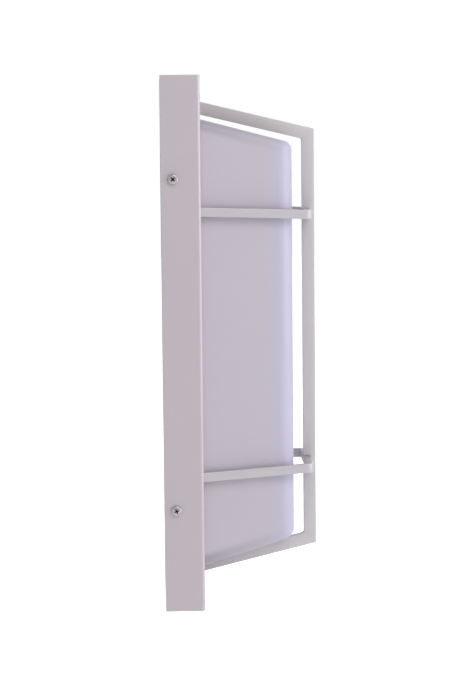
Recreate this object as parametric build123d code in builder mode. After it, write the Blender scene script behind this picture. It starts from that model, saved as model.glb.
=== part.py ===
"""Outdoor wall lantern: a folded back pan, a tapered frosted lens, a flat-bar fin and two hoops.

Millimetres. +Z is up, the wall is the plane y = 0 and the lantern faces -Y. The origin is the
centre of the pan's open back, on the wall. A depth is a distance in front of the wall.
"""

import os
from math import atan2, cos, degrees, sin

from build123d import *

# ---- housing pan -------------------------------------------------------------------------------
pan_height = 406.4
pan_width = 127.0
pan_depth = 30.0
pan_wall = 1.5
pan_bend = 2.5
pan_end_edge = 0.8
weep_bore = 5.0
weep_depth = 6.0

# ---- wall bracket and what fastens to it -------------------------------------------------------
gasket_thick = 2.0
gasket_band = 8.0
bracket_end_margin = 58.2
bracket_thick = 2.0
bracket_side_gap = 0.3
ear_height = 36.0
ear_reach = 11.0
ear_foot = 12.0
ear_end_margin = 1.5
box_spacing = 88.9
box_slot_width = 5.0
box_slot_length = 12.0
wire_bore = 16.0
grommet_lip = 4.0
grommet_lip_thick = 2.0
grommet_neck = 3.0
grommet_edge = 0.8
side_screw_size = 4.0
side_screw_length = 8.0
side_screw_head = 8.0
side_screw_head_height = 3.0
side_screw_inset = 9.0
side_screw_turn = (0.9, 0.3)
clinch_outer = 8.0
clinch_thick = 3.0
ground_place = (32.0, 34.0)
washer_size = 10.0
washer_thick = 1.2
ground_head = 8.0
ground_head_height = 3.2
ground_slot = (7.0, 1.0)
ground_slot_depth = 1.4
ground_screw_end = 1.2

# ---- lens --------------------------------------------------------------------------------------
lens_end_margin = 32.8
lens_side_margin = 8.5
lens_taper_height = 18.3
lens_taper_width = 16.5
lens_stand_off = 9.5
lens_wall = 2.5
lens_side_radius = 14.0
lens_rim_radius = 7.0
lens_flange = 2.5
lens_flange_side = 3.0
lens_flange_end = 5.0
lens_window_gap = 0.5
seal_thick = 1.0

# ---- fin: flat bar on the centre line ----------------------------------------------------------
fin_bar = 9.6
fin_thick = 6.35
fin_reach = 89.6
fin_end_margin = 18.5
fin_taper = 21.8
fin_screw_hold = 8.0
fin_screw_hole = 9.0

# ---- hoops -------------------------------------------------------------------------------------
hoop_strip = 7.0
hoop_thick = 5.0
hoop_drop = 0.9
hoop_fall = 3.3
hoop_spread = 4.5
hoop_edge_gap = 0.3
hoop_bend = 6.5
hoop_tab = 6.5
hoop_tab_thick = 2.0
hoop_notch = 1.2
clip_thick = 0.8
clip_height = 13.0
countersink_depth = 1.6
countersink_slope = 0.8
hoop_screw_hold = 2.5
hex_recess = 2.2
hex_recess_depth = 1.2

# ---- tray, lights and power --------------------------------------------------------------------
tray_thick = 2.0
rail_width = 8.0
rail_thick = 1.5
stud_size = 3.0
stud_side_margin = 15.0
stud_length = 8.5
lead_slot = 8.0
lead_slot_lip = 1.5
lead_slot_lip_thick = 1.2
board_width = 36.0
board_end_margin = 13.4
board_thick = 1.6
board_gap = 14.0
board_screw_margin = 15.0
chip_size = (3.5, 2.8, 0.7)
chip_rows = 8
chip_gap = 17.0
chip_end_margin = 15.5
link_size = (14.0, 26.0, 4.0)
driver_width = 40.0
driver_top = -30.0
driver_wall = 1.5
driver_corner = 2.0
driver_back_gap = 4.5
driver_end_margin = 46.3
transformer_size = (20.0, 22.0)
transformer_rise = 4.0
capacitor_size = 10.0
capacitor_spacing = 18.0
capacitor_rise = 16.0
component_share = 0.505
lug_size = 8.0
lug_thick = 2.0
lug_offset = 15.0
terminal_width = 28.0
terminal_height = 18.0
terminal_back_gap = 5.0
terminal_gap = 16.0
terminal_pitch = 9.0
barrel_outer = 6.0
barrel_bore = 3.2
barrel_inset = 1.0
terminal_screw_sunk = 1.0
terminal_slot = (0.7, 0.9)
input_lead = 2.0
output_lead = 1.6
output_spacing = 8.0
output_drop = 8.0
lead_share = 0.51
lead_bend_share = 0.45
small_corner = 1.0

# ---- common fits -------------------------------------------------------------------------------
m3 = 3.0
m3_clear = 3.4
m3_head = 5.6
m3_head_height = 2.1
m3_nut = 5.5
m3_nut_thick = 2.4
board_screw_length = 5.0
fixing_screw_length = 4.0
m4_clear = 4.5
slip = 0.2
crown_share = 0.55
cross_reach = 0.58
cross_wing = 0.13
cross_depth = 0.6

# ---- worked out from the sizes above -----------------------------------------------------------
plate_back = pan_depth - pan_wall
inner_half_width = pan_width / 2 - pan_wall
inner_half_height = pan_height / 2 - pan_wall
bracket_half_width = inner_half_width - bracket_side_gap
bracket_height = pan_height - 2 * bracket_end_margin
bracket_front = gasket_thick + bracket_thick
side_screw_spacing = bracket_height - ear_height - 2 * ear_end_margin

fin_half_height = pan_height / 2 - fin_end_margin
fin_front_half_height = fin_half_height - fin_taper
fin_front = pan_depth + fin_reach
fin_inner = fin_front - fin_bar
fin_slope = fin_taper / fin_reach
fin_angle = atan2(fin_slope, 1)
fin_bar_rise = fin_bar / cos(fin_angle)
fin_screw_z = fin_half_height - fin_bar_rise / 2

flange_front = plate_back - seal_thick
flange_back = flange_front - lens_flange
tray_back = flange_back - tray_thick
lens_half_height = pan_height / 2 - lens_end_margin
lens_half_width = pan_width / 2 - lens_side_margin
lens_front = fin_inner - lens_stand_off
lens_slope_height = lens_taper_height / (lens_front - pan_depth)
lens_slope_width = lens_taper_width / (lens_front - pan_depth)
window_half_height = lens_half_height + lens_slope_height * pan_wall + lens_window_gap
window_half_width = lens_half_width + lens_slope_width * pan_wall + lens_window_gap
flange_half_height = window_half_height + lens_flange_end
flange_half_width = window_half_width + lens_flange_side
stud_half_height = window_half_height + lens_flange_end / 2
stud_half_spacing = lens_half_width - stud_side_margin

hoop_half_spacing = pan_height / 4 - hoop_drop
hoop_front_half_spacing = hoop_half_spacing - hoop_fall
hoop_outer_half_width = inner_half_width - hoop_edge_gap
hoop_front_half_width = lens_half_width - lens_taper_width + hoop_spread
hoop_inner_depth = fin_inner + slip
hoop_outer_depth = hoop_inner_depth + hoop_thick
hoop_run = hoop_outer_depth - pan_depth
hoop_lean = atan2(hoop_fall, hoop_run)
tab_x = hoop_outer_half_width - hoop_tab_thick / 2
countersink_radius = m3 / 2 + countersink_slope * countersink_depth

rail_depth = tray_back - bracket_front - ear_reach
board_height = lens_half_height - board_gap / 2 - board_end_margin
board_front = flange_back + board_thick
board_centre = (board_height + board_gap) / 2
board_screw_spacing = board_height - 2 * board_screw_margin
chip_pitch = (board_height - 2 * chip_end_margin) / (chip_rows - 1)
driver_depth = tray_back - bracket_front - driver_back_gap
driver_back = tray_back - driver_depth
driver_base = driver_end_margin - flange_half_height
driver_height = driver_top - driver_base
driver_centre = (driver_top + driver_base) / 2
driver_room = driver_depth - 2 * driver_wall - board_thick
lead_depth = tray_back - lead_share * driver_depth
lead_bend = lead_bend_share * (board_front - lead_depth)
lead_hole_z = -(board_gap / 2 + output_drop)
terminal_back = bracket_front + terminal_back_gap
terminal_centre = driver_base - terminal_gap - terminal_height / 2
terminal_lug_x = terminal_width / 2 + lug_size / 2
tray_screw_places = (
    (lug_offset, driver_top + lug_size / 2),
    (-lug_offset, driver_base - lug_size / 2),
    (terminal_lug_x, terminal_centre),
    (-terminal_lug_x, terminal_centre),
)


def front(depth):
    """Plane parallel to the wall at a depth in front of it, facing forward; local x is X, y is Z."""
    return Plane.XZ.offset(depth)


def side_plane(side):
    """Outer face of the pan's right (+1) or left (-1) side, facing out; local x is along Y or -Y."""
    return Plane(origin=(side * pan_width / 2, 0, 0), x_dir=(0, side, 0), z_dir=(side, 0, 0))


def hoop_plane(end):
    """Middle plane of the upper (+1) or lower (-1) hoop; local -y runs forward from the pan."""
    return Plane(
        origin=(0, -pan_depth, end * hoop_half_spacing),
        x_dir=(1, 0, 0),
        z_dir=(0, -end * sin(hoop_lean), cos(hoop_lean)),
    )


def pan_screw(size, length, head, head_height):
    """Pan-head screw with a cross recess: the head's seat is at z = 0 and the shank goes down."""
    with BuildPart() as screw:
        with BuildSketch(Plane.XY):
            Circle(head / 2)
        extrude(amount=head_height)
        crown = screw.edges().group_by(Axis.Z)[-1]
        fillet(crown, head_height * crown_share)
        with BuildSketch(Plane.XY):
            Circle(size / 2)
        extrude(amount=-length)
        with BuildSketch(Plane.XY.offset(head_height)):
            Rectangle(head * cross_reach, head * cross_wing)
            Rectangle(head * cross_wing, head * cross_reach)
        extrude(amount=-head_height * cross_depth, mode=Mode.SUBTRACT)
    return screw.part


def lens_form(inset, front_inset):
    """Tapered box of the lens, all sides moved in by inset and the front face by front_inset."""
    start = flange_back
    stop = lens_front - front_inset

    def section(depth):
        """Width and height of the tapered box at a depth."""
        ahead = depth - pan_depth
        half_width = lens_half_width - lens_slope_width * ahead - inset
        half_height = lens_half_height - lens_slope_height * ahead - inset
        return 2 * half_width, 2 * half_height

    with BuildPart() as form:
        with BuildSketch(front(start)):
            Rectangle(*section(start))
        with BuildSketch(front(stop)):
            Rectangle(*section(stop))
        loft()
        uprights = form.edges().filter_by(Axis.Z).group_by(Axis.Y)[0]
        fillet(uprights, lens_side_radius - inset)
        for end in (-1, 0):
            face = form.faces().sort_by(Axis.Z)[end]
            rim = face.edges().group_by(Axis.Y)[:-1]
            fillet([edge for group in rim for edge in group], lens_rim_radius - inset)
    return form.part


def hoop_form(end, grow, strip):
    """One hoop as a bent bar: grow thickens it on each face and strip is its height."""
    centre_half_width = hoop_outer_half_width - hoop_thick / 2
    front_half_width = hoop_front_half_width - hoop_thick / 2
    reach = (hoop_outer_depth - hoop_thick / 2 - pan_depth) / cos(hoop_lean)
    with BuildPart() as form:
        with BuildSketch(hoop_plane(end).offset(-strip / 2)):
            with BuildLine():
                FilletPolyline(
                    (-centre_half_width, hoop_tab),
                    (-centre_half_width, 0),
                    (-front_half_width, -reach),
                    (front_half_width, -reach),
                    (centre_half_width, 0),
                    (centre_half_width, hoop_tab),
                    radius=hoop_bend - hoop_thick / 2,
                )
            trace(line_width=hoop_thick + 2 * grow)
        extrude(amount=strip)
    return form.part


def save(part, name):
    """Label one finished sub-part and write it to its own STEP file."""
    part.label = name
    export_step(part, f"parts/{name}.step")


os.makedirs("parts", exist_ok=True)

# ================================ housing pan ===================================================
with BuildPart() as housing_pan:
    with BuildSketch(front(0)):
        Rectangle(pan_width, pan_height)
    extrude(amount=pan_depth)
    # folded sides, and end walls that are welded in and ground nearly square
    fillet(housing_pan.faces().sort_by(Axis.Y)[0].edges().filter_by(Axis.Z), pan_bend)
    ends = housing_pan.faces().sort_by(Axis.Z)
    for end in (ends[0], ends[-1]):
        fillet(end.edges().group_by(Axis.Y)[0], pan_end_edge)
    with BuildSketch(front(0)):
        Rectangle(2 * inner_half_width, 2 * inner_half_height)
    extrude(amount=plate_back, mode=Mode.SUBTRACT)
    # window for the lens
    with BuildSketch(front(plate_back)):
        RectangleRounded(2 * window_half_width, 2 * window_half_height, lens_rim_radius)
    extrude(amount=pan_wall, mode=Mode.SUBTRACT)
    # slots for the hoops' tabs, and holes for the fin's screws
    with BuildSketch(front(plate_back)):
        with GridLocations(2 * tab_x, 2 * hoop_half_spacing, 2, 2):
            Rectangle(hoop_tab_thick + slip, hoop_strip + 4 * slip)
        with GridLocations(0, 2 * fin_screw_z, 1, 2):
            Circle(m3_clear / 2)
    extrude(amount=pan_wall, mode=Mode.SUBTRACT)
    # holes for the side screws, and the weep hole in the lower wall
    with BuildSketch(Plane.YZ):
        with Locations((-side_screw_inset, 0)):
            with GridLocations(0, side_screw_spacing, 1, 2):
                Circle(m4_clear / 2)
    extrude(amount=pan_width, both=True, mode=Mode.SUBTRACT)
    with BuildSketch(Plane.XY.offset(-pan_height / 2)):
        with Locations((0, -weep_depth)):
            Circle(weep_bore / 2)
    extrude(amount=pan_wall, mode=Mode.SUBTRACT)
save(housing_pan.part, "housing_pan")

# ================================ wall bracket ==================================================
with BuildPart() as wall_gasket:
    with BuildSketch(front(0)):
        RectangleRounded(2 * bracket_half_width, bracket_height, gasket_band / 2)
        RectangleRounded(
            2 * (bracket_half_width - gasket_band),
            bracket_height - 2 * gasket_band,
            gasket_band / 4,
            mode=Mode.SUBTRACT,
        )
    extrude(amount=gasket_thick)
save(wall_gasket.part, "wall_gasket")

with BuildPart() as wall_bracket:
    with BuildSketch(front(gasket_thick)):
        RectangleRounded(2 * bracket_half_width, bracket_height, gasket_band / 2)
        Circle(wire_bore / 2 + grommet_neck, mode=Mode.SUBTRACT)
        with GridLocations(box_spacing, 0, 2, 1):
            SlotOverall(box_slot_length, box_slot_width, mode=Mode.SUBTRACT)
        with Locations(ground_place):
            Circle(side_screw_size / 2, mode=Mode.SUBTRACT)
    extrude(amount=bracket_thick)
save(wall_bracket.part, "wall_bracket")

# angles welded to the bracket's plate, one for each side screw
with BuildPart() as bracket_ears:
    with BuildSketch(front(bracket_front)):
        with GridLocations(2 * bracket_half_width - bracket_thick, side_screw_spacing, 2, 2):
            Rectangle(bracket_thick, ear_height)
    extrude(amount=ear_reach)
    with BuildSketch(front(bracket_front)):
        with GridLocations(2 * bracket_half_width - ear_foot, side_screw_spacing, 2, 2):
            Rectangle(ear_foot, ear_height)
    extrude(amount=bracket_thick)
    with BuildSketch(Plane.YZ):
        with Locations((-side_screw_inset, 0)):
            with GridLocations(0, side_screw_spacing, 1, 2):
                Circle(side_screw_size / 2)
    extrude(amount=pan_width, both=True, mode=Mode.SUBTRACT)
    # room for the clinch nuts over the ears' feet
    with BuildSketch(Plane.YZ):
        with Locations((-side_screw_inset, 0)):
            with GridLocations(0, side_screw_spacing, 1, 2):
                Circle(clinch_outer / 2 + slip)
    extrude(amount=bracket_half_width - bracket_thick, both=True, mode=Mode.SUBTRACT)
save(bracket_ears.part, "bracket_ears")

with BuildPart() as clinch_nuts:
    for side in (-1, 1):
        inside = side_plane(side).offset(-(pan_width / 2 - bracket_half_width) - bracket_thick)
        with BuildSketch(inside):
            with Locations((-side * side_screw_inset, 0)):
                with GridLocations(0, side_screw_spacing, 1, 2):
                    Circle(clinch_outer / 2)
                    Circle(side_screw_size / 2, mode=Mode.SUBTRACT)
        extrude(amount=-clinch_thick)
save(clinch_nuts.part, "clinch_nuts")

side_screw = pan_screw(
    side_screw_size, side_screw_length, side_screw_head, side_screw_head_height
)
with BuildPart() as side_screws:
    for side in (-1, 1):
        for end in (-1, 1):
            seat = Plane(
                origin=(side * pan_width / 2, -side_screw_inset, end * side_screw_spacing / 2),
                x_dir=(0, side * side_screw_turn[0], end * side_screw_turn[1]),
                z_dir=(side, 0, 0),
            )
            add(seat.from_local_coords(side_screw))
save(side_screws.part, "side_screws")

with BuildPart() as inlet_grommet:
    neck = wire_bore / 2 + grommet_neck
    lip = neck + grommet_lip
    with BuildSketch(front(gasket_thick - grommet_lip_thick)):
        Circle(lip)
    extrude(amount=grommet_lip_thick)
    with BuildSketch(front(gasket_thick)):
        Circle(neck)
    extrude(amount=bracket_thick)
    with BuildSketch(front(bracket_front)):
        Circle(lip)
    extrude(amount=grommet_lip_thick)
    fillet(inlet_grommet.edges().filter_by(GeomType.CIRCLE).group_by(Axis.Y)[0], grommet_edge)
    with BuildSketch(front(gasket_thick - grommet_lip_thick)):
        Circle(wire_bore / 2)
    extrude(amount=bracket_thick + 2 * grommet_lip_thick, mode=Mode.SUBTRACT)
save(inlet_grommet.part, "inlet_grommet")

with BuildPart() as ground_washer:
    with BuildSketch(front(bracket_front)):
        with Locations(ground_place):
            Circle(washer_size / 2)
            Circle(side_screw_size / 2, mode=Mode.SUBTRACT)
    extrude(amount=washer_thick)
save(ground_washer.part, "ground_washer")

with BuildPart() as ground_screw:
    with BuildSketch(front(bracket_front + washer_thick)):
        with Locations(ground_place):
            RegularPolygon(ground_head / 2, 6)
    extrude(amount=ground_head_height)
    with BuildSketch(front(bracket_front + washer_thick)):
        with Locations(ground_place):
            Circle(side_screw_size / 2)
    extrude(amount=-(bracket_thick + washer_thick + ground_screw_end))
    with BuildSketch(front(bracket_front + washer_thick + ground_head_height)):
        with Locations(ground_place):
            Rectangle(*ground_slot)
    extrude(amount=-ground_slot_depth, mode=Mode.SUBTRACT)
save(ground_screw.part, "ground_screw")

# ================================ lens and its seal =============================================
lens_outer = lens_form(0, 0)
lens_cavity = lens_form(lens_wall, lens_wall)
with BuildPart() as diffuser:
    add(lens_outer)
    with BuildSketch(front(flange_back)):
        RectangleRounded(2 * flange_half_width, 2 * flange_half_height, lens_rim_radius)
    extrude(amount=lens_flange)
    add(lens_cavity, mode=Mode.SUBTRACT)
    with BuildSketch(front(flange_back)):
        with GridLocations(2 * stud_half_spacing, 2 * stud_half_height, 2, 2):
            Circle(m3_clear / 2)
    extrude(amount=lens_flange, mode=Mode.SUBTRACT)
save(diffuser.part, "diffuser")

with BuildPart() as diffuser_gasket:
    with BuildSketch(front(flange_front)):
        RectangleRounded(2 * flange_half_width, 2 * flange_half_height, lens_rim_radius)
        RectangleRounded(
            2 * window_half_width, 2 * window_half_height, lens_rim_radius, mode=Mode.SUBTRACT
        )
        with GridLocations(2 * stud_half_spacing, 2 * stud_half_height, 2, 2):
            Circle(m3_clear / 2, mode=Mode.SUBTRACT)
    extrude(amount=seal_thick)
save(diffuser_gasket.part, "diffuser_gasket")

with BuildPart() as tray_studs:
    with BuildSketch(front(plate_back)):
        with GridLocations(2 * stud_half_spacing, 2 * stud_half_height, 2, 2):
            Circle(stud_size / 2)
    extrude(amount=-stud_length)
save(tray_studs.part, "tray_studs")

with BuildPart() as tray_nuts:
    with BuildSketch(front(tray_back)):
        with GridLocations(2 * stud_half_spacing, 2 * stud_half_height, 2, 2):
            RegularPolygon(m3_nut / 2, 6, major_radius=False)
            Circle(stud_size / 2, mode=Mode.SUBTRACT)
    extrude(amount=-m3_nut_thick)
save(tray_nuts.part, "tray_nuts")

# ================================ tray and light boards =========================================
with BuildPart() as led_tray:
    with BuildSketch(front(tray_back)):
        RectangleRounded(2 * flange_half_width, 2 * flange_half_height, lens_rim_radius)
        with GridLocations(2 * stud_half_spacing, 2 * stud_half_height, 2, 2):
            Circle(m3_clear / 2, mode=Mode.SUBTRACT)
        with GridLocations(0, 2 * board_centre, 1, 2):
            with GridLocations(0, board_screw_spacing, 1, 2):
                Circle(m3 / 2, mode=Mode.SUBTRACT)
        with Locations(*tray_screw_places):
            Circle(m3 / 2, mode=Mode.SUBTRACT)
        with Locations((0, lead_hole_z)):
            SlotOverall(output_spacing + lead_slot, lead_slot, mode=Mode.SUBTRACT)
    extrude(amount=tray_thick)
save(led_tray.part, "led_tray")

# angles bonded to the tray's back along both long sides, which keep it straight
with BuildPart() as tray_rails:
    with BuildSketch(front(tray_back)):
        with GridLocations(2 * flange_half_width - rail_width, 0, 2, 1):
            Rectangle(rail_width, 2 * (flange_half_height - lens_rim_radius))
    extrude(amount=-rail_thick)
    with BuildSketch(front(tray_back)):
        with GridLocations(2 * flange_half_width - rail_thick, 0, 2, 1):
            Rectangle(rail_thick, 2 * (flange_half_height - lens_rim_radius))
    extrude(amount=-rail_depth)
save(tray_rails.part, "tray_rails")

with BuildPart() as tray_grommet:
    with BuildSketch(front(tray_back)):
        with Locations((0, lead_hole_z)):
            SlotOverall(output_spacing + lead_slot, lead_slot)
    extrude(amount=tray_thick)
    with BuildSketch(front(tray_back)):
        with Locations((0, lead_hole_z)):
            lip_slot = lead_slot + 2 * lead_slot_lip
            SlotOverall(output_spacing + lip_slot, lip_slot)
    extrude(amount=-lead_slot_lip_thick)
    with BuildSketch(front(tray_back - lead_slot_lip_thick)):
        with Locations((0, lead_hole_z)):
            with GridLocations(output_spacing, 0, 2, 1):
                Circle(output_lead / 2)
    extrude(amount=tray_thick + lead_slot_lip_thick, mode=Mode.SUBTRACT)
save(tray_grommet.part, "tray_grommet")

for name, end in (("led_board_upper", 1), ("led_board_lower", -1)):
    with BuildPart() as led_board:
        with BuildSketch(front(flange_back)):
            with Locations((0, end * board_centre)):
                Rectangle(board_width, board_height)
                with GridLocations(0, board_screw_spacing, 1, 2):
                    Circle(m3_clear / 2, mode=Mode.SUBTRACT)
            with Locations((0, lead_hole_z)):
                with GridLocations(output_spacing, 0, 2, 1):
                    Circle(output_lead / 2, mode=Mode.SUBTRACT)
        extrude(amount=board_thick)
    save(led_board.part, name)

with BuildPart() as led_chips:
    with BuildSketch(front(board_front)):
        with GridLocations(0, 2 * board_centre, 1, 2):
            with GridLocations(chip_gap, chip_pitch, 2, chip_rows):
                Rectangle(chip_size[0], chip_size[1])
    extrude(amount=chip_size[2])
save(led_chips.part, "led_chips")

with BuildPart() as board_link:
    with BuildSketch(front(board_front)):
        RectangleRounded(link_size[0], link_size[1], small_corner)
    extrude(amount=link_size[2])
save(board_link.part, "board_link")

board_screw = pan_screw(m3, board_screw_length, m3_head, m3_head_height)
with BuildPart() as led_screws:
    for end in (-1, 1):
        for step in (-1, 1):
            height = end * board_centre + step * board_screw_spacing / 2
            add(front(board_front).from_local_coords(Pos(0, height, 0) * board_screw))
save(led_screws.part, "led_screws")

# ================================ driver ========================================================
with BuildPart() as driver_case:
    with BuildSketch(front(tray_back)):
        with Locations((0, driver_centre)):
            RectangleRounded(driver_width, driver_height, driver_corner)
    extrude(amount=-(driver_depth - driver_wall))
    with BuildSketch(front(tray_back - driver_wall)):
        with Locations((0, driver_centre)):
            Rectangle(driver_width - 2 * driver_wall, driver_height - 2 * driver_wall)
    extrude(amount=-driver_depth, mode=Mode.SUBTRACT)
    with BuildSketch(front(tray_back)):
        for x, z in tray_screw_places[:2]:
            with Locations((x, z)):
                Rectangle(lug_size, lug_size)
                Circle(m3_clear / 2, mode=Mode.SUBTRACT)
    extrude(amount=-lug_thick)
    with BuildSketch(Plane.XY.offset(driver_top)):
        with Locations((0, -lead_depth)):
            with GridLocations(output_spacing, 0, 2, 1):
                Circle(output_lead / 2)
    extrude(amount=-driver_wall, mode=Mode.SUBTRACT)
    with BuildSketch(Plane.XY.offset(driver_base)):
        with Locations((0, -lead_depth)):
            with GridLocations(2 * terminal_pitch, 0, 2, 1):
                Circle(input_lead / 2)
    extrude(amount=driver_wall, mode=Mode.SUBTRACT)
save(driver_case.part, "driver_case")

with BuildPart() as driver_cover:
    with BuildSketch(front(driver_back)):
        with Locations((0, driver_centre)):
            RectangleRounded(driver_width, driver_height, driver_corner)
    extrude(amount=driver_wall)
save(driver_cover.part, "driver_cover")

with BuildPart() as driver_board:
    with BuildSketch(front(driver_back + driver_wall)):
        with Locations((0, driver_centre)):
            Rectangle(
                driver_width - 2 * driver_wall - 2 * slip, driver_height - 2 * driver_wall - 2 * slip
            )
    extrude(amount=board_thick)
save(driver_board.part, "driver_board")

with BuildPart() as driver_components:
    with BuildSketch(front(driver_back + driver_wall + board_thick)):
        with Locations((0, driver_centre + transformer_rise)):
            RectangleRounded(*transformer_size, small_corner)
        with Locations((0, driver_base + capacitor_rise)):
            with GridLocations(capacitor_spacing, 0, 2, 1):
                Circle(capacitor_size / 2)
    extrude(amount=component_share * driver_room)
save(driver_components.part, "driver_components")

fixing_screw = pan_screw(m3, fixing_screw_length, m3_head, m3_head_height)
with BuildPart() as fixing_screws:
    for x, z in tray_screw_places:
        seat = Plane(origin=(x, -(tray_back - lug_thick), z), x_dir=(1, 0, 0), z_dir=(0, 1, 0))
        add(seat.from_local_coords(fixing_screw))
save(fixing_screws.part, "fixing_screws")

# ================================ terminal block ================================================
with BuildPart() as terminal_block:
    with BuildSketch(front(tray_back)):
        with Locations((0, terminal_centre)):
            RectangleRounded(terminal_width, terminal_height, small_corner)
    extrude(amount=terminal_back - tray_back)
    with BuildSketch(front(tray_back)):
        for x, z in tray_screw_places[2:]:
            with Locations((x, z)):
                Rectangle(lug_size, lug_size)
                Circle(m3_clear / 2, mode=Mode.SUBTRACT)
    extrude(amount=-lug_thick)
    with BuildSketch(Plane.XY.offset(terminal_centre)):
        with Locations((0, -lead_depth)):
            with GridLocations(terminal_pitch, 0, 3, 1):
                Circle(barrel_outer / 2)
    extrude(amount=terminal_height, both=True, mode=Mode.SUBTRACT)
    with BuildSketch(front(terminal_back)):
        with Locations((0, terminal_centre)):
            with GridLocations(terminal_pitch, 0, 3, 1):
                Circle(m3_clear / 2)
    extrude(amount=lead_depth - terminal_back, mode=Mode.SUBTRACT)
save(terminal_block.part, "terminal_block")

with BuildPart() as terminal_barrels:
    with BuildSketch(Plane.XY.offset(terminal_centre - terminal_height / 2 + barrel_inset)):
        with Locations((0, -lead_depth)):
            with GridLocations(terminal_pitch, 0, 3, 1):
                Circle(barrel_outer / 2)
                Circle(barrel_bore / 2, mode=Mode.SUBTRACT)
    extrude(amount=terminal_height - 2 * barrel_inset)
    with BuildSketch(front(terminal_back)):
        with Locations((0, terminal_centre)):
            with GridLocations(terminal_pitch, 0, 3, 1):
                Circle(m3 / 2)
    extrude(amount=lead_depth - terminal_back, mode=Mode.SUBTRACT)
save(terminal_barrels.part, "terminal_barrels")

with BuildPart() as terminal_screws:
    with BuildSketch(front(terminal_back + terminal_screw_sunk)):
        with Locations((0, terminal_centre)):
            with GridLocations(terminal_pitch, 0, 3, 1):
                Circle(m3 / 2)
    extrude(amount=lead_depth - terminal_back - terminal_screw_sunk - input_lead / 2)
    with BuildSketch(front(terminal_back + terminal_screw_sunk)):
        with Locations((0, terminal_centre)):
            with GridLocations(terminal_pitch, 0, 3, 1):
                Rectangle(m3, terminal_slot[0])
    extrude(amount=terminal_slot[1], mode=Mode.SUBTRACT)
save(terminal_screws.part, "terminal_screws")

# ================================ internal leads ================================================
with BuildPart() as input_leads:
    with BuildSketch(Plane.XY.offset(terminal_centre)):
        with Locations((0, -lead_depth)):
            with GridLocations(2 * terminal_pitch, 0, 2, 1):
                Circle(input_lead / 2)
    extrude(amount=driver_base + driver_wall - terminal_centre)
save(input_leads.part, "input_leads")

with BuildPart() as output_leads:
    for side in (-1, 1):
        x = side * output_spacing / 2
        with BuildLine() as route:
            FilletPolyline(
                (x, -lead_depth, driver_top - driver_wall),
                (x, -lead_depth, lead_hole_z),
                (x, -board_front, lead_hole_z),
                radius=lead_bend,
            )
        with BuildSketch(Plane(origin=(x, -lead_depth, driver_top - driver_wall))):
            Circle(output_lead / 2)
        sweep(path=route.wires()[0])
save(output_leads.part, "output_leads")

# ================================ fin ===========================================================
for name, end in (("fin_top_bar", 1), ("fin_bottom_bar", -1)):
    with BuildPart() as fin_bar_part:
        with BuildSketch(Plane.YZ):
            with BuildLine():
                Polyline(
                    (-pan_depth, end * fin_half_height),
                    (-fin_front, end * fin_front_half_height),
                    (-fin_inner, end * (fin_front_half_height + fin_slope * fin_bar - fin_bar_rise)),
                    (-pan_depth, end * (fin_half_height - fin_bar_rise)),
                    close=True,
                )
            make_face()
        extrude(amount=fin_thick / 2, both=True)
        with BuildSketch(front(pan_depth)):
            with Locations((0, end * fin_screw_z)):
                Circle(m3 / 2)
        extrude(amount=fin_screw_hole, mode=Mode.SUBTRACT)
    save(fin_bar_part.part, name)

inner_corner = fin_front_half_height + fin_slope * fin_bar - fin_bar_rise
hoop_notches = [hoop_form(end, slip, hoop_strip + 2 * slip) for end in (-1, 1)]
with BuildPart() as fin_front_bar:
    with BuildSketch(Plane.YZ):
        with BuildLine():
            Polyline(
                (-fin_front, fin_front_half_height),
                (-fin_front, -fin_front_half_height),
                (-fin_inner, -inner_corner),
                (-fin_inner, inner_corner),
                close=True,
            )
        make_face()
    extrude(amount=fin_thick / 2, both=True)
    for notch in hoop_notches:
        add(notch, mode=Mode.SUBTRACT)
    for end in (-1, 1):
        bore_depth = hoop_inner_depth + hoop_thick + hoop_screw_hold + slip
        with BuildSketch(front(fin_inner)):
            with Locations((0, end * hoop_front_half_spacing)):
                Circle(m3 / 2)
        extrude(amount=bore_depth - fin_inner, mode=Mode.SUBTRACT)
save(fin_front_bar.part, "fin_front_bar")

fin_screw = pan_screw(m3, pan_wall + fin_screw_hold, m3_head, m3_head_height)
with BuildPart() as fin_screws:
    for end in (-1, 1):
        seat = Plane(origin=(0, -plate_back, end * fin_screw_z), x_dir=(1, 0, 0), z_dir=(0, 1, 0))
        add(seat.from_local_coords(fin_screw))
save(fin_screws.part, "fin_screws")

# ================================ hoops =========================================================
countersink_taper = degrees(atan2(countersink_slope, 1))
for name, end in (("upper_hoop", 1), ("lower_hoop", -1)):
    strip = hoop_form(end, 0, hoop_strip)
    with BuildPart() as hoop:
        add(strip)
        # the ends are thinned to tabs behind a shoulder that rests on the pan's front
        with BuildSketch(front(pan_depth)):
            with Locations((0, end * hoop_half_spacing)):
                Rectangle(2 * (tab_x - hoop_tab_thick / 2), 2 * hoop_strip)
        extrude(amount=-2 * hoop_tab, mode=Mode.SUBTRACT)
        # notches in the tabs for the fork clips
        with BuildSketch(front(plate_back)):
            with GridLocations(2 * tab_x, 0, 2, 1):
                for edge in (-1, 1):
                    with Locations((0, end * hoop_half_spacing + edge * hoop_strip / 2)):
                        Rectangle(2 * hoop_tab_thick, 2 * hoop_notch)
        extrude(amount=-(clip_thick + slip), mode=Mode.SUBTRACT)
        with BuildSketch(front(hoop_inner_depth)):
            with Locations((0, end * hoop_front_half_spacing)):
                Circle(m3 / 2)
        extrude(amount=2 * hoop_thick, mode=Mode.SUBTRACT)
        with BuildSketch(front(hoop_inner_depth)):
            with Locations((0, end * hoop_front_half_spacing)):
                Circle(countersink_radius)
        extrude(amount=countersink_depth, taper=countersink_taper, mode=Mode.SUBTRACT)
    save(hoop.part, name)

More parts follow.
